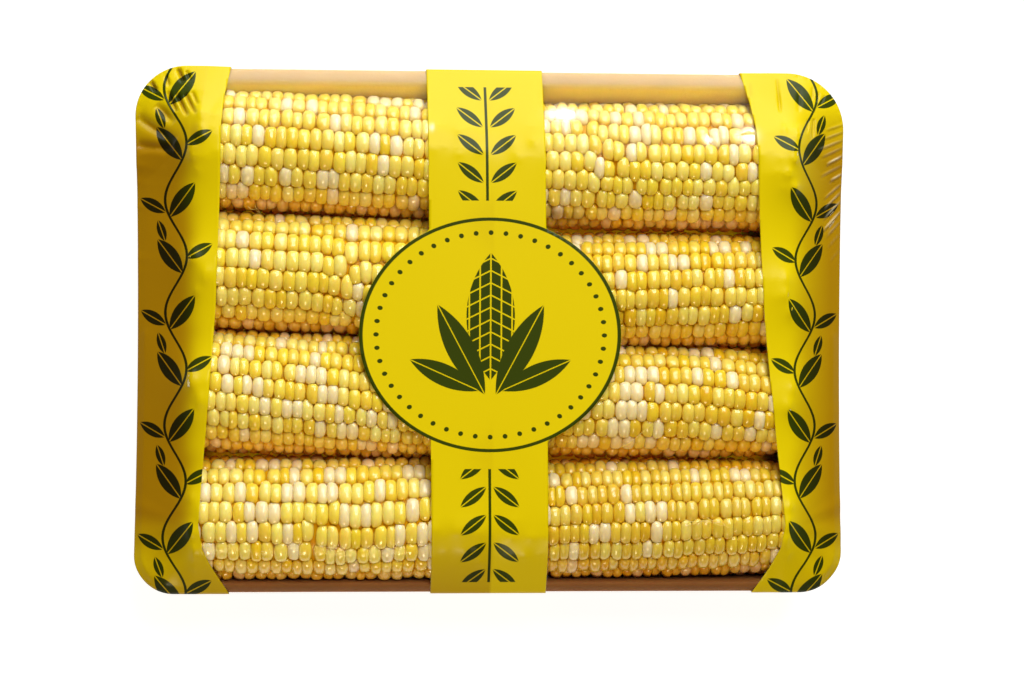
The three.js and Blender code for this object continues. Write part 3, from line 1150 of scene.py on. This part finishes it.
def build_film(heights, film, solid, printed, clear):
    """Film pieces cut along the edges of the print, each in place of its CAD node."""
    points, triangles = film_surface(heights, film, solid)
    points = np.concatenate([points, skin_normals(points, triangles)], 1)
    strips = {"left": beyond_strip(-1), "right": beyond_strip(1)}
    for label, side in (("left", -1), ("right", 1)):
        field = strips[label]
        add_film("wrap_print_" + label, clip_skin(points, triangles, lambda p: field(p) - CUT_GAP), printed)
        rest = clip_skin(points, triangles, lambda p: -field(p) - CUT_GAP)
        rest = clip_skin(*rest, lambda p: side * p[:, 0])
        rest = clip_skin(*rest, lambda p: -band_or_oval(p) - CUT_GAP)
        add_film("wrap_clear_" + label, rest, clear)
    add_film("wrap_print_middle", clip_skin(points, triangles, lambda p: band_or_oval(p) - CUT_GAP), printed)


def add_film(node_name, skin, material):
    """A piece of film in place of its CAD node."""
    points, faces = thick_skin(*skin)
    piece = mesh_piece(node_name + "_film", points[:, :3], faces, material)
    point_uvs(piece, "print", points[:, 3:5] / 100)
    point_values(piece, "painted_shade", points[:, 5])
    point_values(piece, "glare", points[:, 6])
    slot = "printed_film" if "print" in node_name else "clear_film"
    part_of_object(piece, node_name)
    if slot == "clear_film":
        # Light goes through clear film, so these rays skip it, which spares render time
        piece.visible_shadow = False
        piece.visible_diffuse = False


# Tray


def tray_ring(inset, front, z, steps):
    """Rounded rectangle of points at one height."""
    arcs = []
    for corner, (sx, sy) in enumerate(((1, 1), (-1, 1), (-1, -1), (1, -1))):
        depth = inset if sy > 0 else front
        radius = max(float(corner_radius(sx, sy)) - depth, 4.0)
        cx, cy = HALF_X - inset - radius, HALF_Y - depth - radius
        turn = (corner + np.linspace(0, 1, steps)) * math.pi / 2
        arcs.append(np.stack([sx * cx + radius * np.cos(turn), sy * cy + radius * np.sin(turn)], 1))
    share = np.linspace(0, 1, SIDE_POINTS + 2)[1:-1, None]
    points = []
    for arc, after in zip(arcs, arcs[1:] + arcs[:1]):
        points.append(arc)
        points.append(arc[-1] + (after[0] - arc[-1]) * share)
    ring = np.concatenate(points)
    return np.concatenate([ring, np.full((len(ring), 1), z)], 1)


def lip_height(x, y):
    """Height of the tray's rolled lip where it lies under a place, and -1 away from it."""
    inset = rim_inset(x, y)
    lip = [ring for ring in TRAY_PROFILE if ring[2] > LIP_ABOVE and ring[0] < LIP_INSET]
    back, front, z = (np.array(column) for column in zip(*lip))
    at_back = np.where((inset > back[0]) & (inset < back[-1]), np.interp(inset, back, z), -1.0)
    at_front = np.where((inset > front[0]) & (inset < front[-1]), np.interp(inset, front, z), -1.0)
    return np.where(y < 0, at_front, at_back)


def kept_in_tray(points):
    """Presses points that would lie in the tray's wall or floor back to its inside."""
    inside = TRAY_PROFILE[:LIP_RING - 1:-1]
    back, front, z = (np.array(column) for column in zip(*inside))
    low = np.interp(points[:, 2], z, front, right=0.0) - HALF_Y + TRAY_PLAY
    high = HALF_Y - np.interp(points[:, 2], z, back, right=0.0) - TRAY_PLAY
    points[:, 1] = np.clip(points[:, 1], np.minimum(low, -60), np.maximum(high, 60))
    points[:, 2] = np.maximum(points[:, 2], z[0] + TRAY_PLAY)
    return points


def tray_tints(points, count):
    """Tan board, golden inside as painted light bounced from the corn, and brown along the front as painted
    shade.
    """
    ring = np.arange(len(points)) // count
    inside = np.clip((ring - LIP_RING + 1) / 3, 0, 1)[:, None]
    front = np.clip((-points[:, 1] - 70) / 25, 0, 1)[:, None]
    tints = BOARD_LIP * (1 - inside) + BOARD_INSIDE_BOUNCE * inside
    return tints * (1 - front) + BOARD_FRONT_SHADE * front


def build_tray(material):
    rings = [tray_ring(inset, front, z, CORNER_POINTS) for inset, front, z in TRAY_PROFILE]
    count = len(rings[0])
    quads = tube_quads(len(rings), count)
    last = (len(rings) - 1) * count
    caps = np.stack([np.arange(count)[::-1], last + np.arange(count)])
    points = bowed(np.concatenate(rings))
    piece = mesh_piece("tray_board", points, [quads, caps], material)
    point_colours(piece, "tint", tray_tints(points, count))
    part_of_object(piece, "tray")


# Materials


def corn_material():
    """Moist kernels: colour from each kernel, cloudy inside, glossy skin."""
    material, tree, out = new_material("corn")
    tint = node(tree, "ShaderNodeVertexColor", layer_name="tint")
    wet = tint.outputs["Alpha"]
    gloss = Field(tree, wet) * 0.22
    surface(
        tree,
        out,
        {
            "Base Color": shaded(tree, tint.outputs[0], noise(tree, 420.0, 3.0), 0.86, 1.1),
            "Normal": bumped(tree, noise(tree, 1500.0, 2.0), 0.12, 0.0003),
            "Roughness": 0.38,
            "Subsurface Weight": 0.8,
            "Subsurface Radius": (1.0, 0.85, 0.3),
            "Subsurface Scale": 0.0022,
            "Specular IOR Level": gloss.value,
            "Coat Weight": wet,
            "Coat Roughness": 0.09,
        },
    )
    return material


def board_material():
    """Tan moulded fibre."""
    material, tree, out = new_material("board")
    tint = node(tree, "ShaderNodeVertexColor", layer_name="tint")
    surface(
        tree,
        out,
        {
            "Base Color": shaded(tree, tint.outputs[0], noise(tree, 60.0, 5.0), 0.8, 1.15),
            "Normal": bumped(tree, noise(tree, 900.0, 4.0), 0.35, 0.0004),
            "Roughness": 0.8,
            "Subsurface Weight": 0.6,
            "Subsurface Radius": (1.0, 0.6, 0.25),
            "Subsurface Scale": 0.006,
        },
    )
    return material


def printed_material():
    """Yellow print on glossy film, darker and browner as painted shade over hollows, creases and folds, pale
    as painted glints where it clings, with a green leaf design.
    """
    material, tree, out = new_material("printed_film")
    # Painted shade: how dark and brown the print turns over hollows, creases and folds
    painted_shade = node(tree, "ShaderNodeAttribute", attribute_name="painted_shade").outputs["Fac"]
    glare = node(tree, "ShaderNodeAttribute", attribute_name="glare").outputs["Fac"]
    yellow = mixed(tree, painted_shade, INK_YELLOW, INK_HOLLOW_SHADE)
    green = mixed(tree, painted_shade, INK_GREEN, INK_GREEN_HOLLOW_SHADE)
    flat = mixed(tree, green_print(tree).value, yellow, green)
    # Gloss and painted glint: the print gains coat and turns pale where the film clings
    gloss_and_painted_glint = Field(tree, glare) * CLING_GLOSS_AND_PAINTED_GLINT
    gloss = gloss_and_painted_glint + PRINT_GLOSS
    surface(
        tree,
        out,
        {
            "Base Color": mixed(tree, gloss_and_painted_glint.value, flat, INK_PAINTED_GLINT),
            "Roughness": 0.33,
            "Specular IOR Level": 0.12,
            "Coat Weight": gloss.value,
            "Coat Roughness": 0.22,
        },
    )
    return material


def leaf(x, y, at, turn, length, width, vein=VEIN_HALF):
    """Field under zero inside a shape pointed at both ends, cut along the middle by a vein."""
    c, s = math.cos(math.radians(turn)), math.sin(math.radians(turn))
    px, py = x - at[0], y - at[1]
    along = px * c + py * s
    across = (py * c - px * s).size()
    half, side = length / 2, width / 2
    bow = (half * half + side * side) / (2 * side)
    blade = length_of(along, across + (bow - side)) - bow
    return blade.most(across * -1 + vein) if vein else blade


def green_print(tree):
    """Where the print is green."""
    print_map = node(tree, "ShaderNodeUVMap", uv_map="print")
    split = node(tree, "ShaderNodeSeparateXYZ", {0: print_map.outputs[0]})
    x = Field(tree, split.outputs[0]) * 100
    y = Field(tree, split.outputs[1]) * 100
    from_band = x - y * BAND_LEAN - BAND_X
    from_oval = x - OVAL_X
    oval = oval_rings(from_oval, y).least(oval_ear(from_oval, y))
    design = strip_vine(x, y).least(band_garland(from_band, y)).least(oval)
    return design.inside(PRINT_SOFT)


def strip_vine(x, y):
    """A winding stem with leaves to either side, along both end strips."""
    across = x.size() - VINE_X
    down = (y + VINE_SHIFT).wrapped(-VINE_PITCH / 2, VINE_PITCH / 2)
    sway = (down * (2 * math.pi / VINE_PITCH)).apply("SINE") * VINE_SWAY
    vine = (across - sway).size() - STEM_HALF
    for at, turn, size in VINE_LEAVES:
        vine = vine.least(leaf(across, down, at, turn, size, size * 0.4))
    return vine.most(x.size() * -1 + VINE_INNER_X)


def band_garland(x, y):
    """Pairs of leaves on a straight stem, above and below the oval."""
    out = (y - OVAL_Y).size()
    step = (out - GARLAND_FROM).wrapped(-GARLAND_STEP / 2, GARLAND_STEP / 2)
    pairs = leaf(x.size(), step, (6.5, 0.5), 38, 13, 4.6)
    garland = pairs.least(x.size() - STEM_HALF)
    return garland.most(out * -1 + GARLAND_FROM + 0.5).most(out - GARLAND_TO).most(x.size() - 30)


def oval_rings(x, y):
    """The oval's green edge and a ring of beads inside it."""
    px, py = x * (1 / OVAL_A), (y - OVAL_Y) * (1 / OVAL_B)
    out = length_of(px, py)
    edge = (out * OVAL_B - (OVAL_B - RING_INSET)).size() - RING_HALF
    turn = py.apply("ARCTAN2", px)
    along = turn.wrapped(-math.pi / BEADS, math.pi / BEADS) * (BEAD_SHARE * OVAL_A)
    beads = length_of(along, (out - BEAD_SHARE) * OVAL_B) - BEAD_RADIUS
    return edge.least(beads)


def oval_ear(x, y):
    """A plain ear of corn between husk leaves."""
    side = x.size()
    body = leaf(x, y, (0, 6), 90, 50, 19, vein=0.0)
    rows = x.wrapped(-EAR_ROW / 2, EAR_ROW / 2).size() * -1 + EAR_LINE
    steps = (y + side * 0.5).wrapped(-EAR_STEP / 2, EAR_STEP / 2).size() * -1 + EAR_LINE
    ear = body.most(rows).most(steps)
    husk = leaf(side, y, (11.5, -7), 62, 40, 11).least(leaf(side, y, (18, -17), 24, 30, 8.5))
    return ear.least(husk)


def clear_material():
    """Clear film: light goes through, gloss stays on top."""
    material, tree, out = new_material("clear_film")
    edge = node(tree, "ShaderNodeFresnel", {"IOR": 1.13})
    glare = node(tree, "ShaderNodeAttribute", attribute_name="glare")
    cling = Field(tree, glare.outputs["Fac"]) * CLING_GLOSS
    rim = Field(tree, edge.outputs[0]).least(CLEAR_GLOSS) + cling
    through = node(tree, "ShaderNodeBsdfTransparent")
    gloss = node(tree, "ShaderNodeBsdfGlossy", {"Roughness": 0.08})
    mix = node(tree, "ShaderNodeMixShader", {0: rim.value, 1: through.outputs[0], 2: gloss.outputs[0]})
    tree.links.new(mix.outputs[0], out.inputs[0])
    return material


def floor_material():
    """Pale floor that stays white under soft light."""
    material, tree, out = new_material("floor")
    surface(
        tree,
        out,
        {
            "Base Color": (0.3, 0.3, 0.3, 1),
            "Roughness": 0.9,
            "Emission Color": (1, 1, 1, 1),
            "Emission Strength": 0.9,
        },
    )
    return material


# Stage


def aim_at(obj, place, target, roll=0.0):
    """Puts a camera or light at a place, looking at the target, with +Y upward in view before the roll."""
    forward = (target - place).normalized()
    upward = Vector((-math.sin(math.radians(roll)), math.cos(math.radians(roll)), 0))
    right = forward.cross(upward).normalized()
    up = right.cross(forward)
    turn = Matrix((right, up, -forward)).transposed()
    obj.matrix_world = Matrix.Translation(place) @ turn.to_4x4()


def build_camera():
    camera = bpy.data.objects.new("camera", bpy.data.cameras.new("camera"))
    bpy.context.scene.collection.objects.link(camera)
    camera.data.sensor_width = SENSOR_WIDTH
    camera.data.lens = SENSOR_WIDTH * CAMERA_DISTANCE / FRAME_WIDTH
    across, deep = (math.tan(math.radians(tilt)) for tilt in (CAMERA_TILT_X, CAMERA_TILT_Y))
    off = Vector((across, deep, 1)).normalized()
    aim_at(camera, AIM + off * CAMERA_DISTANCE, AIM, CAMERA_ROLL)
    bpy.context.scene.camera = camera


def area_light(name, place, size, watts, colour):
    light = bpy.data.lights.new(name, "AREA")
    light.shape = "RECTANGLE"
    light.size, light.size_y = size
    light.energy = watts
    light.color = colour
    obj = bpy.data.objects.new(name, light)
    bpy.context.scene.collection.objects.link(obj)
    aim_at(obj, Vector(place), LIGHT_TARGET)


def build_stage():
    """Floor, lights and a dim even surround."""
    bpy.ops.mesh.primitive_plane_add(size=6, location=(0, 0, FLOOR_Z))
    floor = bpy.context.object
    floor.name = "floor"
    floor.data.materials.append(floor_material())
    for light in LIGHTS:
        area_light(*light)
    world = bpy.data.worlds.new("studio")
    bpy.context.scene.world = world
    world.use_nodes = True
    background = world.node_tree.nodes["Background"]
    background.inputs["Color"].default_value = (1, 1, 1, 1)
    background.inputs["Strength"].default_value = WORLD_LIGHT
    bpy.context.scene.view_settings.view_transform = "Standard"


def main():
    corn = corn_material()
    heights = Heights()
    solid = np.full(heights.shape, -1.0)
    for seed, (name, style) in enumerate(COBS.items()):
        points = build_cob(name, style, FIRST_SEED + seed, corn)
        solid = np.maximum(solid, heights.raised(points))
    lip = lip_height(heights.x, heights.y)
    film = stretch_film(heights, np.maximum(solid, lip))
    build_film(heights, film, solid, printed_material(), clear_material())
    build_tray(board_material())
    build_camera()
    build_stage()


main()
